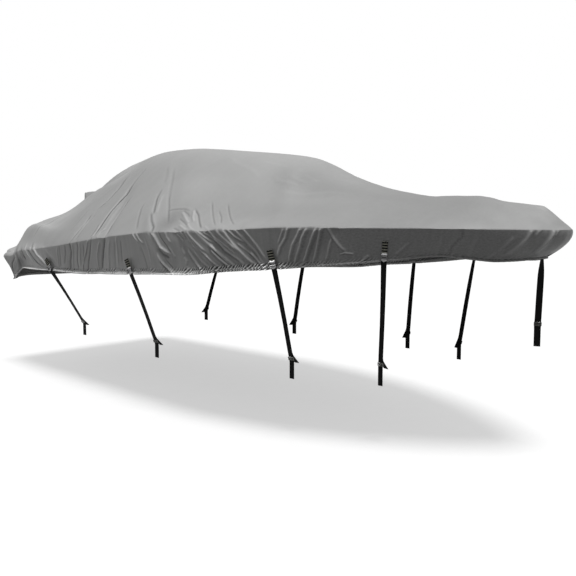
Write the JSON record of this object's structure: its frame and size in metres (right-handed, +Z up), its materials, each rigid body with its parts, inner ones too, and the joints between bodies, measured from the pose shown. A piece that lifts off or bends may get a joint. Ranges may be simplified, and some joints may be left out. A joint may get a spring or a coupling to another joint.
{
  "type": "boat cover",
  "caption": "Grey fitted cloth cover for a V-hull runabout, drawn down over the gunwale, with webbing tie-down straps and buckles.",
  "frame": {"origin": "under the highest point of the ridge, on the inner face of the cloth, where the boat's support carries the cover", "axes": "+X towards the bow, +Y to port, +Z up"},
  "size_m": [6.15, 2.4608, 2.112],
  "materials": {
    "grey_polyester": "matt woven polyester with a light sheen",
    "tab_webbing": "black webbing with olive stitched lines",
    "black_webbing": "black polypropylene webbing",
    "black_plastic": "glossy black",
    "slider_plastic": "olive black, half matt"
  },
  "bodies": {
    "root": {"cover": "grey_polyester", "tab_s1": "tab_webbing", "buckle_s1": "black_plastic", "strap_s1": "black_webbing", "slider_s1": "slider_plastic", "return_s1": "black_webbing", "tab_s2": "tab_webbing", "buckle_s2": "black_plastic", "strap_s2": "black_webbing", "slider_s2": "slider_plastic", "return_s2": "black_webbing", "tab_s3": "tab_webbing", "buckle_s3": "black_plastic", "strap_s3": "black_webbing", "slider_s3": "slider_plastic", "return_s3": "black_webbing", "tab_s4": "tab_webbing", "buckle_s4": "black_plastic", "strap_s4": "black_webbing", "slider_s4": "slider_plastic", "return_s4": "black_webbing", "tab_p1": "tab_webbing", "buckle_p1": "black_plastic", "strap_p1": "black_webbing", "slider_p1": "slider_plastic", "return_p1": "black_webbing", "tab_p2": "tab_webbing", "buckle_p2": "black_plastic", "strap_p2": "black_webbing", "slider_p2": "slider_plastic", "return_p2": "black_webbing", "tab_p3": "tab_webbing", "buckle_p3": "black_plastic", "strap_p3": "black_webbing", "slider_p3": "slider_plastic", "return_p3": "black_webbing", "tab_p4": "tab_webbing", "buckle_p4": "black_plastic", "strap_p4": "black_webbing", "slider_p4": "slider_plastic", "return_p4": "black_webbing", "strap_bow": "black_webbing", "slider_bow": "slider_plastic", "return_bow": "black_webbing"}
  },
  "joints": []
}
